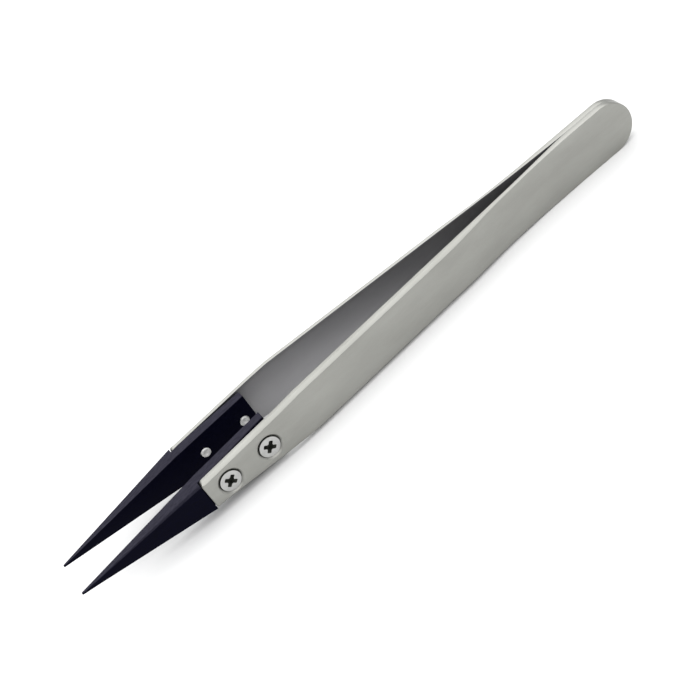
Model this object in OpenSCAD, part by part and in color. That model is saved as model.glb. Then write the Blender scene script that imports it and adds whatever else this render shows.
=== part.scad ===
// Precision tweezers with two spring-steel arms and screwed-on plastic tips.
// They lie on the arms' lower long edges: tips along +X, opening and closing along Y, Z up.
// Distances called "from the heel" run along the tool from its rounded rear end.

/* [Overall] */
// Length from the rounded heel to the points of the tips
overall_length = 130; // [125:0.5:140]
// Distance between the inner edges of the two points at rest
point_gap = 8.7; // [7:0.1:10]

/* [Arms] */
// Length of each steel arm, from the heel to its front edge
arm_length = 102.8; // [101:0.1:104]
// Width across the rounded heel
heel_width = 10.4; // [10.2:0.1:12]
// Width of the arms along the grip
arm_width = 9.8; // [9:0.1:10.2]
// Width of the arms at their front edge
arm_front_width = 6.5; // [6.2:0.1:7.5]
// Distance from the heel at which the arms start to narrow
taper_start = 80; // [70:1:84]
// Steel thickness at the heel, where the arms are welded
weld_thickness = 1.3; // [1:0.05:1.4]
// Steel thickness just in front of the heel, where the arms flex
flex_thickness = 0.8; // [0.7:0.05:1]
// Steel thickness along the grip and at the tips
front_thickness = 1.35; // [1.25:0.05:1.5]
// Bevel along the outer long edges of the grip
edge_bevel = 0.6; // [0.2:0.05:0.6]
// Radius of the front corners
corner_radius = 0.9; // [0.4:0.1:1.5]

/* [Heel] */
// Length over which the two arms lie face to face
weld_length = 11; // [11:0.5:14]
// Angle at which each arm leaves the centre plane
spread_angle = 4.6; // [4.4:0.1:4.8]
// Diameter of a spot weld
nugget_d = 2.6; // [2:0.1:3]

/* [Tips] */
// Length of the tang that lies against the inside of the arm
tang_length = 15.8; // [15:0.1:18]
// Half of the gap between the two tangs at their rear ends
tang_half_gap = 3.15; // [2.8:0.05:3.4]
// Thickness of a tip at its point
point_thickness = 0.45; // [0.3:0.05:0.8]
// Width of a tip at its point
point_width = 0.3; // [0.2:0.05:0.8]
// Gap that opens between the arm and the rear end of the tang
tang_relief = 0.7; // [0.3:0.05:0.8]

/* [Screws] */
// Distance of the front screw behind the arm's front edge
screw_inset = 4.6; // [4.2:0.1:5.5]
// Distance between the two screws of one arm
screw_pitch = 8.9; // [8:0.1:9.5]
// Shank diameter
shank_d = 2; // [1.8:0.1:2.1]
// Distance of the screws below the middle of the arm's width
screw_drop = 0.3; // [0:0.05:0.4]
// Head diameter
head_d = 4.2; // [3.8:0.1:4.3]
// Diameter of the countersink at the arm's outer face
mouth_d = 5.1; // [4.9:0.05:5.1]
// Height of the head's straight rim above its cone
head_rim = 0.3; // [0.15:0.05:0.35]

/* [Hidden] */
$fn = 64;

steel = [0.62, 0.62, 0.60];
black = [0.06, 0.06, 0.09];
zinc = [0.80, 0.80, 0.80];

// The arm's inner face seen from above: flat at the weld, a short bend, a straight run, a bend
// back towards the centre plane, and a straight seat for the tip
bend_run = 5;
curve_start = 78;
seat_angle = 0.7;
spread_slope = tan(spread_angle);
seat_slope = tan(seat_angle);
straight_start = weld_length + bend_run;
seat_start = arm_length - tang_length;

// The flexing line, where each arm turns on the joint
flex_x = 24;
flare_end = 28;
thin_run = 14;
thick_start = 31;
thick_run = 12;
bevel_start = 20;
bevel_run = 26;

// The heads' cone, 100 degrees across, and the depth that puts the head inside its countersink
cone_slope = tan(40);
head_sink = cone_slope * (mouth_d - head_d) / 2;

seat_play = 0.03;
shoulder_gap = 0.12;
shoulder_step = 0.1;
screw_end_proud = 0.15;
end_chamfer = 0.25;
recess_depth = 0.7;
recess_span = 2.3;
recess_slot = 0.6;
nugget_depth = 0.6;
nugget_places = [4.5, 9.5];
clear = 1;

function clamp01(v) = min(1, max(0, v));
function smooth(v) = clamp01(v) * clamp01(v) * (3 - 2 * clamp01(v));
function mix(a, b, v) = a + (b - a) * v;

function bend_y(x) = spread_slope * pow(x - weld_length, 2) / (2 * bend_run);
function straight_y(x) = spread_slope * (x - weld_length - bend_run / 2);
function curve_y(x) = straight_y(x)
    - (spread_slope - seat_slope) * pow(x - curve_start, 2) / (2 * (seat_start - curve_start));
function inner_y(x) =
    x < weld_length ? 0 :
    x < straight_start ? bend_y(x) :
    x < curve_start ? straight_y(x) :
    x < seat_start ? curve_y(x) :
    curve_y(seat_start) + seat_slope * (x - seat_start);
function thickness(x) =
    let (thinned = mix(weld_thickness, flex_thickness, smooth((x - weld_length) / thin_run)))
    mix(thinned, front_thickness, smooth((x - thick_start) / thick_run));
function outer_y(x) = inner_y(x) + thickness(x);
function bevel_at(x) = edge_bevel * smooth((x - bevel_start) / bevel_run) + 0.02;

// Half of the arm's width, with the front corners rounded off
function plain_half(x) =
    x < flare_end
        ? mix(heel_width, arm_width, clamp01((x - weld_length) / (flare_end - weld_length))) / 2
        : mix(arm_width, arm_front_width, clamp01((x - taper_start) / (arm_length - taper_start))) / 2;
function corner_cut(x) = corner_radius
    - sqrt(pow(corner_radius, 2) - pow(max(0, x - arm_length + corner_radius), 2));
function half_width(x) = plain_half(x) - corner_cut(x);

// Inner face of a tip: one plane from the tang's rear end to the point
function tip_inner_y(x) =
    mix(tang_half_gap, point_gap / 2, (x - seat_start) / (overall_length - seat_start));

heel_steps = 8;
leg_steps = 22;
corner_steps = 4;
heel_stations = [for (i = [0 : heel_steps]) mix(weld_length, flex_x, i / heel_steps)];
leg_stations = concat(
    [for (i = [0 : leg_steps]) mix(flex_x, arm_length - corner_radius, i / leg_steps)],
    [for (i = [1 : corner_steps]) arm_length - corner_radius * (1 - sin(90 * i / corner_steps))]
);

front_screw_x = arm_length - screw_inset;
rear_screw_x = front_screw_x - screw_pitch;
relief_start = front_screw_x + 1;

module in_row_frame() {
    translate([-overall_length / 2, 0, heel_width / 2]) children();
}

module right_side() {
    mirror([0, 1, 0]) children();
}

// Moves a shape drawn along -Z from an arm's outer face to a screw's place
module at_screw(x) {
    translate([x, outer_y(x), -screw_drop]) rotate([-90, 0, seat_angle]) children();
}

// Rear part of an arm: its flat rounded end and the bend, as far as the flexing line
module heel_outline() {
    radius = heel_width / 2;
    translate([radius, 0]) circle(r = radius, $fn = 96);
    polygon(concat(
        [[radius, -radius], [weld_length, -radius]],
        [for (x = heel_stations) [x, -half_width(x)]],
        [for (i = [heel_steps : -1 : 0]) [heel_stations[i], half_width(heel_stations[i])]],
        [[weld_length, radius], [radius, radius]]
    ));
}

module heel_profile() {
    polygon(concat(
        [[0, 0]],
        [for (x = heel_stations) [x, inner_y(x)]],
        [for (i = [heel_steps : -1 : 0]) [heel_stations[i], outer_y(heel_stations[i])]],
        [[0, weld_thickness]]
    ));
}

module nuggets(d, depth) {
    for (x = nugget_places)
        translate([x, -depth, 0]) rotate([-90, 0, 0]) cylinder(d = d, h = 2 * depth);
}

module arm_heel() {
    difference() {
        intersection() {
            linear_extrude(heel_width, center = true) heel_profile();
            rotate([90, 0, 0]) linear_extrude(heel_width, center = true) heel_outline();
        }
        nuggets(nugget_d, nugget_depth);
    }
}

// One cross-section of the leg: flat inner face, square edges, bevelled outer corners
function section(x) = let (h = half_width(x), b = bevel_at(x), i = inner_y(x), o = outer_y(x)) [
    [x, i, -h], [x, i, h], [x, o - b, h], [x, o, h - b], [x, o, b - h], [x, o - b, -h]
];

module leg_blade() {
    corners = 6;
    last = len(leg_stations) - 1;
    points = [for (x = leg_stations) each section(x)];
    sides = [for (s = [0 : last - 1]) for (c = [0 : corners - 1])
        [s * corners + c, s * corners + (c + 1) % corners,
         (s + 1) * corners + (c + 1) % corners, (s + 1) * corners + c]];
    rear = [[for (c = [corners - 1 : -1 : 0]) c]];
    front = [[for (c = [0 : corners - 1]) last * corners + c]];
    polyhedron(points, concat(rear, sides, front), convexity = 4);
}

// Front part of an arm, with a countersunk hole for each screw
module arm() {
    difference() {
        leg_blade();
        for (x = [front_screw_x, rear_screw_x]) at_screw(x) {
            cylinder(d = shank_d + 2 * seat_play, h = 2 * front_thickness + clear, center = true);
            countersink();
        }
    }
}

module countersink() {
    depth = cone_slope * (mouth_d - shank_d) / 2;
    translate([0, 0, -depth]) cylinder(d1 = shank_d, d2 = mouth_d, h = depth);
    cylinder(d = mouth_d, h = clear);
}

// A tip seen from above: the tang behind the shoulder, the tapering nose in front of it
module tip_profile() {
    shoulder = arm_length + shoulder_gap;
    polygon([
        [seat_start, tip_inner_y(seat_start)],
        [overall_length, point_gap / 2],
        [overall_length, point_gap / 2 + point_thickness],
        [shoulder, outer_y(arm_length) - shoulder_step],
        [shoulder, inner_y(shoulder)],
        [relief_start, inner_y(relief_start)],
        [seat_start, inner_y(seat_start) - tang_relief]
    ]);
}

module tip_outline() {
    shoulder = arm_length + shoulder_gap;
    tang = plain_half(seat_start);
    nose = plain_half(shoulder);
    point = point_width / 2;
    polygon([
        [seat_start, -tang], [shoulder, -nose], [overall_length, -point],
        [overall_length, point], [shoulder, nose], [seat_start, tang]
    ]);
}

module tip() {
    difference() {
        intersection() {
            linear_extrude(arm_width, center = true) tip_profile();
            rotate([90, 0, 0]) linear_extrude(4 * arm_width, center = true) tip_outline();
        }
        for (x = [front_screw_x, rear_screw_x])
            at_screw(x) cylinder(d = shank_d + 2 * seat_play, h = 4 * arm_width, center = true);
    }
}

// Countersunk screw with a cross recess, drawn with its axis along -Z from the arm's outer face
module screw(x) {
    reach = outer_y(x) - tip_inner_y(x) + screw_end_proud;
    cone = cone_slope * (head_d - shank_d) / 2;
    at_screw(x) difference() {
        rotate_extrude() polygon([
            [0, -reach],
            [shank_d / 2 - end_chamfer, -reach],
            [shank_d / 2, -reach + end_chamfer],
            [shank_d / 2, -head_sink - cone],
            [head_d / 2, -head_sink],
            [head_d / 2, head_rim - head_sink],
            [0, head_rim - head_sink]
        ]);
        for (turn = [45, 135]) rotate([0, 0, turn])
            translate([-recess_span / 2, -recess_slot / 2, head_rim - head_sink - recess_depth])
                cube([recess_span, recess_slot, recess_depth + clear]);
    }
}

module left_arm_heel() {
    color(steel) in_row_frame() arm_heel();
}

module right_arm_heel() {
    color(steel) in_row_frame() right_side() arm_heel();
}

module weld_nuggets() {
    color(steel) in_row_frame() nuggets(nugget_d, nugget_depth);
}

module left_arm() {
    color(steel) in_row_frame() arm();
}

module right_arm() {
    color(steel) in_row_frame() right_side() arm();
}

module left_tip() {
    color(black) in_row_frame() tip();
}

module right_tip() {
    color(black) in_row_frame() right_side() tip();
}

module left_front_screw() {
    color(zinc) in_row_frame() screw(front_screw_x);
}

module left_rear_screw() {
    color(zinc) in_row_frame() screw(rear_screw_x);
}

module right_front_screw() {
    color(zinc) in_row_frame() right_side() screw(front_screw_x);
}

module right_rear_screw() {
    color(zinc) in_row_frame() right_side() screw(rear_screw_x);
}

left_arm_heel();
right_arm_heel();
weld_nuggets();
left_arm();
right_arm();
left_tip();
right_tip();
left_front_screw();
left_rear_screw();
right_front_screw();
right_rear_screw();
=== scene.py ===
"""Precision tweezers: two brushed steel arms, two black plastic tips and four screws.

Shapes are worked out in millimetres, with x measured from the rounded heel, y outwards from the plane
between the arms and z from the middle of the arms' width. Part() carries them into the frame, in metres.
"""
import math

import bmesh
import bpy
from mathutils import Matrix, Vector


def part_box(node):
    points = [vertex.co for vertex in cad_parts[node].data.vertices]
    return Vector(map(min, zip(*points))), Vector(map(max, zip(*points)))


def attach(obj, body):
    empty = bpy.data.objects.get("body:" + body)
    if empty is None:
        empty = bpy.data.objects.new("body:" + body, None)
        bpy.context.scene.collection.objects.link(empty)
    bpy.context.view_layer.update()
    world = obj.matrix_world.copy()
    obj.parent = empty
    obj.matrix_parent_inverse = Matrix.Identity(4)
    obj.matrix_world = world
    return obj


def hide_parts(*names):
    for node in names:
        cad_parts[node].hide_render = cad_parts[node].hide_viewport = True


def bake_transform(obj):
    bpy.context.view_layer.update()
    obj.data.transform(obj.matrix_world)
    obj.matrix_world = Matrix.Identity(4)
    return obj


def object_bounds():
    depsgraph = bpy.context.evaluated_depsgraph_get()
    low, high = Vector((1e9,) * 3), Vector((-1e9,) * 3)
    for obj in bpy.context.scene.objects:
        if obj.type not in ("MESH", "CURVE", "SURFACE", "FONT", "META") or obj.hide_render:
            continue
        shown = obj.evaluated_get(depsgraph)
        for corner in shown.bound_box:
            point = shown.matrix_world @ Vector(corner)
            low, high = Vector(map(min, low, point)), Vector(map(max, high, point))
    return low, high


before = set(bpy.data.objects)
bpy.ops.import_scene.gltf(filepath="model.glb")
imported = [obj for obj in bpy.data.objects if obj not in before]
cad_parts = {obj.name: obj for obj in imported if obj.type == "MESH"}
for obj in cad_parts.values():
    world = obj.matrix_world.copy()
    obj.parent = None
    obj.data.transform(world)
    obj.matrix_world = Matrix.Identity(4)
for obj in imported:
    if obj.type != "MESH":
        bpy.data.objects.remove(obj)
cad_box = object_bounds()

MM = 0.001
LEFT, RIGHT = 1, -1
SIDE_NAME = {LEFT: "left", RIGHT: "right"}

# ---------------------------------------------------------------- places read from the frame

HEEL_LOW, HEEL_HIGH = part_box("left_arm_heel")
ARM_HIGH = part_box("left_arm")[1]
TIP_LOW, TIP_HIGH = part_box("left_tip")
SCREW_LOW, SCREW_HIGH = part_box("left_front_screw")
ROOT_X = HEEL_LOW.x
MID_Z = (HEEL_LOW.z + HEEL_HIGH.z) / 2


def from_heel(x):
    """Distance in mm from the rounded heel to a frame x in metres."""
    return (x - ROOT_X) / MM


def screw_place(name):
    """Distance in mm from the heel to a screw's axis."""
    low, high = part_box(name)
    return from_heel((low.x + high.x) / 2)


ARM_END = from_heel(ARM_HIGH.x)
TIP_END = from_heel(TIP_HIGH.x)
TANG_REAR = from_heel(TIP_LOW.x)
TANG_HALF_GAP = TIP_LOW.y / MM
HEEL_WIDTH = (HEEL_HIGH.z - HEEL_LOW.z) / MM
SCREW_PLACES = {"front": screw_place("left_front_screw"), "rear": screw_place("left_rear_screw")}
HEAD_D = (SCREW_HIGH.z - SCREW_LOW.z) / MM
SCREW_DROP = (MID_Z - (SCREW_LOW.z + SCREW_HIGH.z) / 2) / MM

# ---------------------------------------------------------------- design values, in mm and degrees

ARM_WIDTH = 9.8
ARM_FRONT_WIDTH = 6.5
TAPER_START = 80.0
WELD_THICKNESS = 1.3
FLEX_THICKNESS = 0.8
FRONT_THICKNESS = 1.35
WELD_LENGTH = 11.0
BEND_RUN = 5.0
CURVE_START = 78.0
SPREAD = math.tan(math.radians(4.6))
SEAT_ANGLE = math.radians(0.7)
SEAT = math.tan(SEAT_ANGLE)
FLARE_END = 28.0
THIN_RUN = 14.0
THICK_START = 31.0
THICK_RUN = 12.0
BEVEL_START = 20.0
BEVEL_RUN = 26.0
EDGE_BEVEL = 0.6
EDGE_EASE = 0.08
FRONT_BEVEL = 0.12
CORNER_RADIUS = 0.9
POINT_HALF_GAP = 4.35
POINT_THICKNESS = 0.45
POINT_WIDTH = 0.3
TIP_BEVEL = 0.45
TANG_BEVEL = 0.12
LOW_BEVEL = 0.12
SHOULDER_GAP = 0.12
SHOULDER_STEP = 0.1
TANG_RELIEF = 0.7
RELIEF_START = SCREW_PLACES["front"] + 1.0
CONE_SLOPE = math.tan(math.radians(40))
MOUTH_D = 5.1
HEAD_SINK = CONE_SLOPE * (MOUTH_D - HEAD_D) / 2
HEAD_RIM = 0.3
SHANK_R = 1.0
BORE_R = 1.03
SCREW_END_PROUD = 0.15
HEAD_TOP = HEAD_RIM - HEAD_SINK
THREAD_PITCH = 0.4
THREAD_DEPTH = 0.2
RECESS_SPAN = 2.45
RECESS_SLOT = 0.78
RECESS_DEPTH = 1.0


def clamp01(v):
    return min(1.0, max(0.0, v))


def smooth(v):
    v = clamp01(v)
    return v * v * (3 - 2 * v)


def mix(a, b, v):
    return a + (b - a) * v


def straight_y(x):
    """Inner face along the straight run between the two bends."""
    return SPREAD * (x - WELD_LENGTH - BEND_RUN / 2)


def curve_y(x):
    """Inner face along the bend that brings the arm nearly parallel with the centre plane."""
    return straight_y(x) - (SPREAD - SEAT) * (x - CURVE_START) ** 2 / (2 * (TANG_REAR - CURVE_START))


def inner_y(x):
    """Inner face of an arm: flat at the weld, a bend, a straight run, another bend, a straight seat."""
    if x < WELD_LENGTH:
        return 0.0
    if x < WELD_LENGTH + BEND_RUN:
        return SPREAD * (x - WELD_LENGTH) ** 2 / (2 * BEND_RUN)
    if x < CURVE_START:
        return straight_y(x)
    if x < TANG_REAR:
        return curve_y(x)
    return curve_y(TANG_REAR) + SEAT * (x - TANG_REAR)


def thickness(x):
    """The steel is ground thin just in front of the weld, where it flexes, and thick again at the grip."""
    thinned = mix(WELD_THICKNESS, FLEX_THICKNESS, smooth((x - WELD_LENGTH) / THIN_RUN))
    return mix(thinned, FRONT_THICKNESS, smooth((x - THICK_START) / THICK_RUN))


def outer_y(x):
    return inner_y(x) + thickness(x)


def half_width(x):
    """Half of the arm's width: a short change behind, then even, then a taper to the front edge."""
    if x < FLARE_END:
        return mix(HEEL_WIDTH, ARM_WIDTH, smooth((x - WELD_LENGTH) / (FLARE_END - WELD_LENGTH))) / 2
    return mix(ARM_WIDTH, ARM_FRONT_WIDTH, clamp01((x - TAPER_START) / (ARM_END - TAPER_START))) / 2


def tip_inner_y(x):
    """Inner face of a tip: one plane from the tang's rear end to the point."""
    return mix(TANG_HALF_GAP, POINT_HALF_GAP, (x - TANG_REAR) / (TIP_END - TANG_REAR))


def tang_outer_y(x):
    """The tang lies on the arm in front and leaves a thin wedge of air behind."""
    return inner_y(x) - TANG_RELIEF * clamp01((RELIEF_START - x) / (RELIEF_START - TANG_REAR))


def spread(first, last, count):
    """count + 1 evenly spaced values from first to last."""
    return [mix(first, last, i / count) for i in range(count + 1)]


# ---------------------------------------------------------------- mesh helpers


class Part:
    """Collects vertices in mm and faces, then becomes one Blender mesh in the frame."""

    def __init__(self, side=LEFT):
        self.side = side
        self.points = []
        self.faces = []

    def add(self, x, y, z):
        self.points.append((ROOT_X + x * MM, self.side * y * MM, MID_Z + z * MM))
        return len(self.points) - 1

    def ring(self, points):
        return [self.add(*p) for p in points]

    def band(self, a, b):
        """Quads between two closed rings of the same length."""
        for i in range(len(a)):
            j = (i + 1) % len(a)
            self.faces.append((a[i], a[j], b[j], b[i]))

    def strip(self, a, b):
        """Quads between two open rows of the same length."""
        for i in range(len(a) - 1):
            self.faces.append((a[i], a[i + 1], b[i + 1], b[i]))

    def fan(self, ring, centre):
        for i in range(len(ring)):
            self.faces.append((ring[i], ring[(i + 1) % len(ring)], centre))

    def build(self, name, sharp_deg=28):
        mesh = bpy.data.meshes.new(name)
        mesh.from_pydata(self.points, [], self.faces)
        clean(mesh, sharp_deg)
        obj = bpy.data.objects.new(name, mesh)
        bpy.context.scene.collection.objects.link(obj)
        return obj


def clean(mesh, sharp_deg):
    """Merges doubled points, turns all faces outwards and keeps edges above sharp_deg crisp."""
    bm = bmesh.new()
    bm.from_mesh(mesh)
    bmesh.ops.remove_doubles(bm, verts=bm.verts, dist=1e-7)
    bmesh.ops.dissolve_degenerate(bm, edges=bm.edges, dist=1e-8)
    bmesh.ops.recalc_face_normals(bm, faces=bm.faces)
    limit = math.radians(sharp_deg)
    for face in bm.faces:
        face.smooth = True
    for edge in bm.edges:
        edge.smooth = len(edge.link_faces) == 2 and edge.calc_face_angle(0) < limit
    bm.to_mesh(mesh)
    bm.free()


def cut(obj, cutters, sharp_deg=28):
    """Takes the cutters out of obj's mesh for good, then deletes them."""
    for cutter in cutters:
        modifier = obj.modifiers.new("cut", "BOOLEAN")
        modifier.operation = "DIFFERENCE"
        modifier.solver = "EXACT"
        modifier.object = cutter
    graph = bpy.context.evaluated_depsgraph_get()
    mesh = bpy.data.meshes.new_from_object(obj.evaluated_get(graph))
    obj.modifiers.clear()
    old = obj.data
    obj.data = mesh
    bpy.data.meshes.remove(old)
    mesh.name = obj.name
    clean(mesh, sharp_deg)
    for cutter in cutters:
        data = cutter.data
        bpy.data.objects.remove(cutter)
        bpy.data.meshes.remove(data)


def on_screw_axis(place, radial, angle, height):
    """A point round a screw's axis: height is measured outwards from the arm's outer face."""
    across = radial * math.cos(angle)
    x = place + across * math.cos(SEAT_ANGLE) - height * math.sin(SEAT_ANGLE)
    y = outer_y(place) + across * math.sin(SEAT_ANGLE) + height * math.cos(SEAT_ANGLE)
    return x, y, radial * math.sin(angle) - SCREW_DROP


def turned(side, place, profile, name, steps=64, sharp_deg=28):
    """A solid of revolution round a screw's axis from (radius, height) pairs, closed on the axis."""
    part = Part(side)
    angles = [math.tau * i / steps for i in range(steps)]
    rings = [part.ring([on_screw_axis(place, r, a, h) for a in angles]) for r, h in profile[1:-1]]
    for a, b in zip(rings, rings[1:]):
        part.band(a, b)
    part.fan(rings[0], part.add(*on_screw_axis(place, 0, 0, profile[0][1])))
    part.fan(rings[-1], part.add(*on_screw_axis(place, 0, 0, profile[-1][1])))
    return part.build(name, sharp_deg)


# ---------------------------------------------------------------- arms

ROW_STEPS = 12
HEEL_ARC_STEPS = 28
CORNER_STEPS = 8


def arm_outline():
    """Upper half of an arm's outline seen from its side, from the heel's end to the front corner."""
    radius = HEEL_WIDTH / 2
    arc = [90 * i / HEEL_ARC_STEPS for i in range(HEEL_ARC_STEPS)]
    points = [(radius - radius * math.cos(math.radians(a)), radius * math.sin(math.radians(a))) for a in arc]
    run = spread(radius, ARM_END - CORNER_RADIUS, 110)
    points += [(x, half_width(x)) for x in run]
    top = half_width(ARM_END - CORNER_RADIUS)
    for i in range(1, CORNER_STEPS + 1):
        a = math.radians(90 * i / CORNER_STEPS)
        points.append((ARM_END - CORNER_RADIUS * (1 - math.sin(a)), top - CORNER_RADIUS * (1 - math.cos(a))))
    return points


def closed_outline():
    """The whole outline, the number of points on its upper half, and each point's outward normal."""
    upper = arm_outline()
    end_x, end_z = upper[-1]
    front = [(end_x, mix(end_z, -end_z, i / ROW_STEPS)) for i in range(1, ROW_STEPS)]
    lower = [(x, -z) for x, z in reversed(upper[1:])]
    points = upper + front + lower
    normals = []
    for i in range(len(points)):
        (ax, az), (bx, bz) = points[i - 1], points[(i + 1) % len(points)]
        length = math.hypot(bx - ax, bz - az)
        normals.append((-(bz - az) / length, (bx - ax) / length))
    return points, len(upper), normals


def bevel_at(x, normal_x):
    """Outer bevel: wide along the grip, eased on the heel and narrow across the front edge."""
    side = mix(EDGE_EASE, EDGE_BEVEL, smooth((x - BEVEL_START) / BEVEL_RUN))
    return mix(side, FRONT_BEVEL, smooth(normal_x)) if x > TANG_REAR else side


def wall_profile(bevel, depth):
    """(inset, height) pairs round the edge, from the inner face to the outer face."""
    ease = EDGE_EASE
    crown = min(0.09, bevel * 0.4)
    soft = crown * 0.3
    inner_edge = [
        (ease, 0),
        (ease * 0.62, ease * 0.08),
        (ease * 0.29, ease * 0.29),
        (ease * 0.08, ease * 0.62),
        (0, ease),
    ]
    bevel_start = [
        (0, depth - bevel - crown),
        (soft * 0.6, depth - bevel - crown * 0.25),
        (crown * 0.8, depth - bevel + crown * 0.5),
    ]
    bevel_end = [
        (bevel - crown * 0.5, depth - crown * 0.8),
        (bevel + crown * 0.25, depth - soft * 0.6),
        (bevel + crown, depth),
    ]
    return inner_edge + [(0, depth * 0.5)] + bevel_start + bevel_end


def arm_mesh(side):
    """One bent strip: rings of points round the edge, then a grid across each broad face."""
    part = Part(side)
    points, upper, normals = closed_outline()
    loops = []
    for k in range(len(wall_profile(EDGE_BEVEL, FRONT_THICKNESS))):
        loop = []
        for (x, z), (nx, nz) in zip(points, normals):
            inset, height = wall_profile(bevel_at(x, nx), thickness(x))[k]
            px = x - nx * inset
            loop.append(part.add(px, inner_y(px) + height, z - nz * inset))
        loops.append(loop)
    for a, b in zip(loops, loops[1:]):
        part.band(a, b)
    for loop in (loops[0], loops[-1]):
        fill_face(part, loop, upper)
    return part.build(f"{SIDE_NAME[side]}_arm_blade")


def fill_face(part, loop, upper):
    """Rows of quads across a broad face, from the single point at the heel's end to the front edge."""
    count = len(loop)
    rows = []
    for i in range(1, upper - 1):
        top, bottom = loop[i], loop[count - i]
        a, b = part.points[top], part.points[bottom]
        row = [top]
        for j in range(1, ROW_STEPS):
            part.points.append(tuple(mix(p, q, j / ROW_STEPS) for p, q in zip(a, b)))
            row.append(len(part.points) - 1)
        rows.append(row + [bottom])
    rows.append([loop[upper - 1 + j] for j in range(ROW_STEPS + 1)])
    for a, b in zip(rows, rows[1:]):
        part.strip(a, b)
    for a, b in zip(rows[0], rows[0][1:]):
        part.faces.append((loop[0], a, b))


def countersink_cutter(side, place):
    """A bore and a cone with an eased rim, cut from the outer face."""
    mouth = MOUTH_D / 2
    depth = (mouth - BORE_R) * CONE_SLOPE
    ease = 0.05
    below, above = -3, 1
    rim = [
        (mouth - ease, -ease),
        (mouth - ease * 0.3, -ease * 0.5),
        (mouth + ease * 0.5, -ease * 0.12),
        (mouth + ease * 1.5, 0.004),
    ]
    profile = [(0, below), (BORE_R, below), (BORE_R, -depth)] + rim
    profile += [(mouth + ease * 1.5, above), (0, above)]
    return turned(side, place, profile, "cutter", 96)


def make_arm(side):
    arm = arm_mesh(side)
    cut(arm, [countersink_cutter(side, place) for place in SCREW_PLACES.values()])
    return arm


# ---------------------------------------------------------------- tips

TANG_EDGE = 0.06
NOSE_EDGE = 0.12
POINT_EDGE = 0.03
POINT_BEVEL = 0.06


def rounded(corners, radius, steps=3):
    """A closed outline of (y, z) points with every corner rounded off."""
    result = []
    for i, (y, z) in enumerate(corners):
        (ay, az), (by, bz) = corners[i - 1], corners[(i + 1) % len(corners)]
        la, lb = math.hypot(ay - y, az - z), math.hypot(by - y, bz - z)
        ra, rb = min(radius, la * 0.4), min(radius, lb * 0.4)
        start = (y + (ay - y) * ra / la, z + (az - z) * ra / la)
        end = (y + (by - y) * rb / lb, z + (bz - z) * rb / lb)
        for s in range(steps + 1):
            t = s / steps
            result.append(tuple(
                (1 - t) ** 2 * start[k] + 2 * t * (1 - t) * (y, z)[k] + t * t * end[k] for k in range(2)))
    return result


def tip_ring(x, outer, half, bevel, radius, shrink=0.0):
    """Cross-section of a tip: flat faces, a bevelled upper outer corner and an almost square lower one."""
    inner = tip_inner_y(x) + shrink
    outer -= shrink
    half -= shrink
    bevel = min(bevel, (outer - inner) * 0.45, half * 0.7)
    low_bevel = min(bevel, LOW_BEVEL)
    corners = [
        (inner, -half), (inner, half), (outer - bevel, half),
        (outer, half - bevel), (outer, low_bevel - half), (outer - low_bevel, -half),
    ]
    return [(x, y, z) for y, z in rounded(corners, radius)]


def tang_ring(x, shrink=0.0):
    return tip_ring(x, tang_outer_y(x), half_width(x), TANG_BEVEL, TANG_EDGE, shrink)


def nose_ring(x, shrink=0.0):
    """Cross-section of the nose: everything narrows evenly from the shoulder to the point."""
    shoulder = ARM_END + SHOULDER_GAP
    v = (x - shoulder) / (TIP_END - shoulder)
    outer = mix(outer_y(ARM_END) - SHOULDER_STEP, POINT_HALF_GAP + POINT_THICKNESS, v)
    half = mix(half_width(ARM_END), POINT_WIDTH / 2, v)
    bevel = mix(TIP_BEVEL, POINT_BEVEL, v)
    return tip_ring(x, outer, half, bevel, mix(NOSE_EDGE, POINT_EDGE, v), shrink)


def bore_cutter(side, place):
    """A screw's bore through the tang, eased where it comes out on the inner face."""
    low = tip_inner_y(place) - outer_y(place)
    ease = 0.06
    profile = [
        (0, low - 1),
        (BORE_R + ease * 1.5, low - 1),
        (BORE_R + ease * 1.5, low - 0.004),
        (BORE_R + ease * 0.4, low + ease * 0.15),
        (BORE_R, low + ease),
        (BORE_R, 1),
        (0, 1),
    ]
    return turned(side, place, profile, "cutter", 64)


def make_tip(side):
    """Rings along the tang and the nose; the end rings shrink so that both ends are rounded."""
    part = Part(side)
    shoulder = ARM_END + SHOULDER_GAP
    rings = [tang_ring(TANG_REAR + ahead, shrink) for ahead, shrink in ((0, 0.1), (0.03, 0.04), (0.1, 0))]
    rings += [tang_ring(x) for x in spread(TANG_REAR + 0.6, shoulder, 16)]
    rings += [nose_ring(x) for x in spread(shoulder, TIP_END - 0.12, 40)]
    rings += [nose_ring(TIP_END - 0.03, 0.04), nose_ring(TIP_END, 0.09)]
    loops = [part.ring(r) for r in rings]
    for a, b in zip(loops, loops[1:]):
        part.band(a, b)
    for loop in (loops[0], loops[-1]):
        part.faces.append(tuple(loop))
    tip = part.build(f"{SIDE_NAME[side]}_fine_tip")
    cut(tip, [bore_cutter(side, place) for place in SCREW_PLACES.values()])
    return tip


# ---------------------------------------------------------------- screws

# The screw's cropped end as (radius, lift) rings, and the small gap under the head
END_CUP = ((0.52, 0.0), (0.44, 0.06), (0.2, 0.2))
HEAD_GAP = 0.02
THREAD_FADE = 0.35
THREAD_LEAD = 0.12
LEAD_TAPER = 0.22


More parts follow.
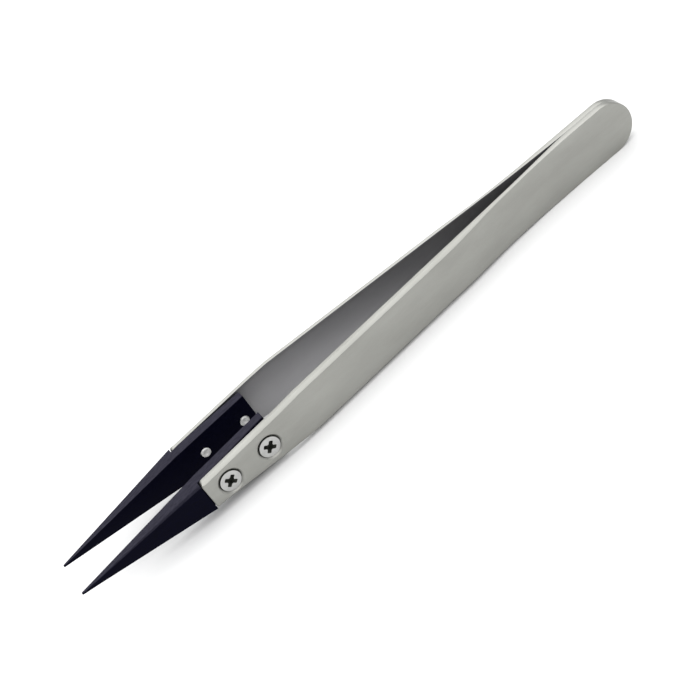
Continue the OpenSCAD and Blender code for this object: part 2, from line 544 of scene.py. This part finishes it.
def recess_cutter(side, place, turn):
    """Cross recess: four wings that narrow and shorten towards the bottom."""
    part = Part(side)
    rings = []
    for height, scale in ((HEAD_TOP + 0.3, 1.1), (HEAD_TOP, 1.0), (HEAD_TOP - RECESS_DEPTH, 0.55)):
        reach = RECESS_SPAN / 2 * scale
        slot = RECESS_SLOT / 2 * mix(0.75, 1.0, scale)
        fillet = slot * 1.45
        half_wing = [(fillet, slot), (reach * 0.93, slot), (reach, slot * 0.6)]
        wing = [(out, -across) for out, across in half_wing] + half_wing[::-1]
        outline = []
        for quarter in range(4):
            a = turn + math.radians(90 * quarter)
            for out, across in wing:
                r = math.hypot(out, across)
                outline.append(on_screw_axis(place, r, a + math.atan2(across, out), height))
        rings.append(part.ring(outline))
    for a, b in zip(rings, rings[1:]):
        part.band(a, b)
    part.faces.append(tuple(rings[0]))
    part.fan(rings[-1], part.add(*on_screw_axis(place, 0, 0, HEAD_TOP - RECESS_DEPTH - 0.2)))
    return part.build("cutter")


def thread_profile(height, angle, low, high):
    """Shank radius at a height and angle: a V thread that runs out at both ends."""
    phase = (height / THREAD_PITCH + angle / math.tau) % 1.0
    ridge = 1 - abs(2 * phase - 1)
    fade = smooth((high - height) / THREAD_FADE)
    lead = clamp01((height - low) / THREAD_LEAD)
    crest = SHANK_R - 0.01 - LEAD_TAPER * (1 - lead)
    return crest - THREAD_DEPTH * (1 - ridge) * fade * lead


def make_screw(side, name, turn):
    """A countersunk head, a threaded shank and a cropped end, with a cross recess cut into the head."""
    place = SCREW_PLACES[name]
    part = Part(side)
    steps = 48
    angles = [math.tau * i / steps for i in range(steps)]
    head = HEAD_D / 2
    cone_end = -HEAD_SINK - (head - SHANK_R) * CONE_SLOPE - HEAD_GAP
    low = tip_inner_y(place) - outer_y(place) - SCREW_END_PROUD
    head_rings = [
        (head * 0.62, HEAD_TOP),
        (head - 0.16, HEAD_TOP),
        (head - 0.07, HEAD_TOP - 0.02),
        (head - 0.02, HEAD_TOP - 0.07),
        (head - 0.01, -HEAD_SINK - HEAD_GAP),
        (SHANK_R - 0.01, cone_end),
    ]
    rings = [part.ring([on_screw_axis(place, r, a, h) for a in angles]) for r, h in head_rings]
    for h in spread(cone_end - 0.04, low, 56):
        rings.append(part.ring([
            on_screw_axis(place, thread_profile(h, a, low, cone_end), a, h) for a in angles]))
    for radius, lift in END_CUP:
        rings.append(part.ring([on_screw_axis(place, radius, a, low + lift) for a in angles]))
    for a, b in zip(rings, rings[1:]):
        part.band(a, b)
    part.fan(rings[0], part.add(*on_screw_axis(place, 0, 0, HEAD_TOP)))
    part.fan(rings[-1], part.add(*on_screw_axis(place, 0, 0, low + END_CUP[-1][1] + 0.05)))
    screw = part.build(f"{SIDE_NAME[side]}_{name}_cross_screw", 40)
    cut(screw, [recess_cutter(side, place, turn)], 30)
    # the second finish is painted shade for the inside of the cross recess
    finish_with(screw, PLATED, RECESS_SHADE, CUT_END)
    shade_screw(screw, side, place, low)
    return screw


def shade_screw(screw, side, place, low):
    """Gives the inside of the cross recess the painted shade and the shank's end the cropped finish."""
    for face in screw.data.polygons:
        x = from_heel(face.center.x) - place
        y = side * face.center.y / MM - outer_y(place)
        z = (face.center.z - MID_Z) / MM + SCREW_DROP
        across = x * math.cos(SEAT_ANGLE) + y * math.sin(SEAT_ANGLE)
        height = y * math.cos(SEAT_ANGLE) - x * math.sin(SEAT_ANGLE)
        cone_radius = HEAD_D / 2 + (height + HEAD_SINK) / CONE_SLOPE
        inside = max(cone_radius, SHANK_R - THREAD_DEPTH) - 0.1
        sunk = HEAD_TOP - RECESS_DEPTH - 0.3 < height < HEAD_TOP - 0.02
        if sunk and math.hypot(across, z) < inside:
            face.material_index = 1
        if height < low + 0.3 and side * face.normal.y < -0.3:
            face.material_index = 2


# ---------------------------------------------------------------- materials


class Nodes:
    """A small builder for node materials."""

    def __init__(self, name):
        self.material = bpy.data.materials.new(name)
        self.material.use_nodes = True
        self.tree = self.material.node_tree
        self.shader = self.tree.nodes["Principled BSDF"]
        self.coords = self.node("ShaderNodeTexCoord").outputs["Object"]

    def node(self, kind, **values):
        made = self.tree.nodes.new(kind)
        for key, value in values.items():
            if hasattr(made, key):
                setattr(made, key, value)
            else:
                made.inputs[key.replace("_", " ")].default_value = value
        return made

    def link(self, out, into):
        self.tree.links.new(out, into)

    def set(self, **values):
        for key, value in values.items():
            self.shader.inputs[key.replace("_", " ")].default_value = value

    def stretched_noise(self, scale, detail=3.0, rough=0.55, lean=0.0):
        """Noise in metres, stretched by a different scale on each axis and leaning from the length."""
        mapping = self.node("ShaderNodeMapping", Scale=scale, Rotation=(0, math.radians(lean), 0))
        self.link(self.coords, mapping.inputs["Vector"])
        noise = self.node("ShaderNodeTexNoise", Scale=1.0, Detail=detail, Roughness=rough)
        self.link(mapping.outputs["Vector"], noise.inputs["Vector"])
        return noise.outputs["Fac"]

    def ramp(self, fac, stops):
        made = self.node("ShaderNodeValToRGB")
        ramp = made.color_ramp
        while len(ramp.elements) < len(stops):
            ramp.elements.new(0.5)
        for element, (place, colour) in zip(ramp.elements, stops):
            element.position = place
            element.color = (*colour, 1) if len(colour) == 3 else colour
        self.link(fac, made.inputs["Fac"])
        return made.outputs["Color"]

    def span(self, fac, low, high, start=0.0, end=1.0):
        made = self.node("ShaderNodeMapRange", From_Min=start, From_Max=end, To_Min=low, To_Max=high)
        self.link(fac, made.inputs["Value"])
        return made.outputs["Result"]

    def bump(self, height, strength, distance, normal=None):
        made = self.node("ShaderNodeBump", Strength=strength, Distance=distance)
        self.link(height, made.inputs["Height"])
        if normal is not None:
            self.link(normal, made.inputs["Normal"])
        return made.outputs["Normal"]


def grey(v, warm=0.0):
    """A grey that gives up a little blue."""
    return v, v, v * (1 - warm)


def satin_steel(name, low, high):
    """Fine lengthwise grain and a few hair scratches over a faint cloud between two colours."""
    m = Nodes(name)
    m.set(Metallic=1.0)
    cloud = m.stretched_noise((70, 200, 260), 5.0, 0.6)
    grain = m.stretched_noise((500, 9000, 26000), 4.0, 0.65)
    scratches = m.span(m.stretched_noise((90, 90, 7000), 2.0, 0.5, 38), 0.0, 1.0, 0.70, 0.76)
    surface = m.node("ShaderNodeMath", operation="SUBTRACT")
    m.link(grain, surface.inputs[0])
    m.link(scratches, surface.inputs[1])
    m.link(m.ramp(cloud, [(0.3, low), (0.7, high)]), m.shader.inputs["Base Color"])
    m.link(m.span(grain, 0.33, 0.5, 0.3, 0.7), m.shader.inputs["Roughness"])
    m.link(m.bump(surface.outputs[0], 0.25, 0.00001), m.shader.inputs["Normal"])
    return m.material


def plated_steel():
    """The bright, smooth plating of the screws."""
    m = Nodes("plated_screw_steel")
    m.set(Metallic=1.0)
    cloud = m.stretched_noise((900, 900, 900), 3.0)
    m.link(m.ramp(cloud, [(0.3, grey(0.42, 0.02)), (0.7, grey(0.50, 0.02))]), m.shader.inputs["Base Color"])
    m.link(m.span(cloud, 0.3, 0.45, 0.3, 0.7), m.shader.inputs["Roughness"])
    m.link(m.bump(m.stretched_noise((4000, 4000, 4000)), 0.15, 0.00001), m.shader.inputs["Normal"])
    return m.material


def fibre_plastic():
    """Near-black moulded plastic with a fibre grain; faces turned up and down are painted paler, a painted
    highlight of the overhead light.
    """
    m = Nodes("fibre_filled_plastic")
    m.set(Specular_IOR_Level=0.04)
    normal = m.node("ShaderNodeSeparateXYZ")
    m.link(m.node("ShaderNodeNewGeometry").outputs["Normal"], normal.inputs["Vector"])
    upright = m.node("ShaderNodeMath", operation="ABSOLUTE")
    m.link(normal.outputs["Z"], upright.inputs[0])
    # painted highlight: the paler colour goes on faces whose normal points up and down
    painted_highlight_mask = m.span(upright.outputs[0], 0.0, 1.0, 0.3, 1.0)
    fibres = m.stretched_noise((900, 5000, 5000), 4.0, 0.6)
    dark = m.ramp(fibres, [(0.35, (0.0005, 0.0005, 0.0040)), (0.7, (0.0014, 0.0014, 0.0080))])
    pale = m.ramp(fibres, [(0.35, (0.014, 0.013, 0.021)), (0.7, (0.031, 0.030, 0.043))])
    colour = m.node("ShaderNodeMix", data_type="RGBA")
    m.link(painted_highlight_mask, colour.inputs[0])
    m.link(dark, colour.inputs[6])
    m.link(pale, colour.inputs[7])
    m.link(colour.outputs[2], m.shader.inputs["Base Color"])
    m.link(m.span(fibres, 0.5, 0.68, 0.3, 0.7), m.shader.inputs["Roughness"])
    m.link(m.bump(fibres, 0.3, 0.00001), m.shader.inputs["Normal"])
    return m.material


def painted_recess_shade():
    """Painted shade: near-black metal for the hollow of a cross recess."""
    m = Nodes("painted_shade_screw_recess")
    m.set(Metallic=0.6, Specular_IOR_Level=0.2)
    cloud = m.stretched_noise((2500, 2500, 2500), 3.0)
    colour = m.ramp(cloud, [(0.3, (0.016, 0.018, 0.015)), (0.7, (0.05, 0.052, 0.045))])
    m.link(colour, m.shader.inputs["Base Color"])
    m.link(m.span(cloud, 0.6, 0.8, 0.3, 0.7), m.shader.inputs["Roughness"])
    return m.material


def cropped_steel():
    """The rough bright metal of a screw's end."""
    m = Nodes("cropped_screw_end")
    m.set(Metallic=0.35)
    cloud = m.stretched_noise((2500, 2500, 2500), 4.0)
    m.link(m.ramp(cloud, [(0.3, grey(0.55, 0.02)), (0.7, grey(0.72, 0.02))]), m.shader.inputs["Base Color"])
    m.link(m.span(cloud, 0.35, 0.5, 0.3, 0.7), m.shader.inputs["Roughness"])
    m.link(m.bump(cloud, 0.4, 0.00003), m.shader.inputs["Normal"])
    return m.material


def weld_metal():
    """Slightly tinted metal of the nuggets inside the heel."""
    m = Nodes("weld_metal")
    m.set(Metallic=1.0)
    cloud = m.stretched_noise((1500, 1500, 1500), 4.0)
    colour = m.ramp(cloud, [(0.3, (0.30, 0.27, 0.24)), (0.7, (0.42, 0.40, 0.38))])
    m.link(colour, m.shader.inputs["Base Color"])
    m.link(m.span(cloud, 0.4, 0.6, 0.3, 0.7), m.shader.inputs["Roughness"])
    return m.material


def finish_with(obj, *materials):
    obj.data.materials.clear()
    for material in materials:
        obj.data.materials.append(material)


def mark_inner_faces(arm, side):
    """The faces that look at the other arm take the second finish, a paler, violet-tinted copy of the steel
    that paints in the reflection seen on them.
    """
    for face in arm.data.polygons:
        if side * face.normal.y < -0.7:
            face.material_index = 1


# ---------------------------------------------------------------- the pieces on their bodies

OUTER_STEEL = satin_steel("satin_steel", (0.308, 0.308, 0.287), (0.352, 0.352, 0.330))
# painted reflection: a paler, violet-tinted copy of the steel for the inner faces
INNER_STEEL_PAINTED_REFLECTION = satin_steel("inner_steel_painted_reflection", (0.345, 0.342, 0.350), (0.365, 0.362, 0.370))
PLATED = plated_steel()
# painted shade for the hollows of the cross recesses
RECESS_SHADE = painted_recess_shade()
CUT_END = cropped_steel()
PLASTIC = fibre_plastic()

SCREW_TURNS_DEG = {"front": 47, "rear": 39}


for side, label in SIDE_NAME.items():
    leg = f"{label}_leg"

    arm = make_arm(side)
    finish_with(arm, OUTER_STEEL, INNER_STEEL_PAINTED_REFLECTION)
    mark_inner_faces(arm, side)
    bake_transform(arm)
    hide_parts(f"{label}_arm_heel", f"{label}_arm")

    tip = make_tip(side)
    finish_with(tip, PLASTIC)
    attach(tip, leg)
    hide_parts(f"{label}_tip")

    for name, turn in SCREW_TURNS_DEG.items():
        screw = make_screw(side, name, math.radians(turn))
        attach(screw, leg)
        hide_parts(f"{label}_{name}_screw")

finish_with(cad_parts["weld_nuggets"], weld_metal())

# ---------------------------------------------------------------- floor, light and camera


def make_floor():
    mesh = bpy.data.meshes.new("floor")
    reach = 3.0
    corners = [(-reach, -reach, 0), (reach, -reach, 0), (reach, reach, 0), (-reach, reach, 0)]
    mesh.from_pydata(corners, [], [(0, 1, 2, 3)])
    floor = bpy.data.objects.new("floor", mesh)
    bpy.context.scene.collection.objects.link(floor)
    m = Nodes("pale_floor")
    m.set(Roughness=0.9, Specular_IOR_Level=0.1)
    paper = m.stretched_noise((30, 30, 30))
    m.link(m.ramp(paper, [(0.3, grey(0.68)), (0.7, grey(0.70))]), m.shader.inputs["Base Color"])
    finish_with(floor, m.material)


def soft_light(name, place, target, width, height, watts):
    light = bpy.data.lights.new(name, "AREA")
    light.shape = "RECTANGLE"
    light.size = width
    light.size_y = height
    light.energy = watts
    obj = bpy.data.objects.new(name, light)
    obj.location = place
    obj.rotation_euler = (Vector(target) - Vector(place)).to_track_quat("-Z", "Y").to_euler()
    bpy.context.scene.collection.objects.link(obj)


def make_light():
    world = bpy.data.worlds.new("studio")
    world.use_nodes = True
    background = world.node_tree.nodes["Background"]
    background.inputs["Color"].default_value = (0.98, 0.99, 1, 1)
    background.inputs["Strength"].default_value = 0.46
    bpy.context.scene.world = world
    soft_light("ceiling", (0, -0.1, 0.45), (0, -0.1, 0), 1.5, 1.7, 14.8)


CAMERA_AZIMUTH = math.radians(171.41)
CAMERA_ELEVATION = math.radians(38.53)
CAMERA_ROLL = math.radians(-34.98)
CAMERA_DISTANCE = 0.3
CAMERA_LENS = 87.05
AIM_OFFSET = Vector((2.235, 1.134, 0)) * MM


def make_camera():
    low, high = (Vector(corner) for corner in cad_box)
    aim = (low + high) / 2 + AIM_OFFSET
    level = math.cos(CAMERA_ELEVATION)
    back = Vector((
        math.sin(CAMERA_AZIMUTH) * level,
        -math.cos(CAMERA_AZIMUTH) * level,
        math.sin(CAMERA_ELEVATION),
    ))
    right = Vector((0, 0, 1)).cross(back).normalized()
    up = back.cross(right)
    turn = Matrix.Rotation(CAMERA_ROLL, 3, back)
    data = bpy.data.cameras.new("camera")
    data.lens = CAMERA_LENS
    data.clip_start = 0.01
    camera = bpy.data.objects.new("camera", data)
    axes = Matrix((turn @ right, turn @ up, back)).transposed().to_4x4()
    camera.matrix_world = Matrix.Translation(aim + back * CAMERA_DISTANCE) @ axes
    bpy.context.scene.collection.objects.link(camera)
    bpy.context.scene.camera = camera


make_floor()
make_light()
make_camera()
bpy.context.scene.view_settings.view_transform = "Standard"
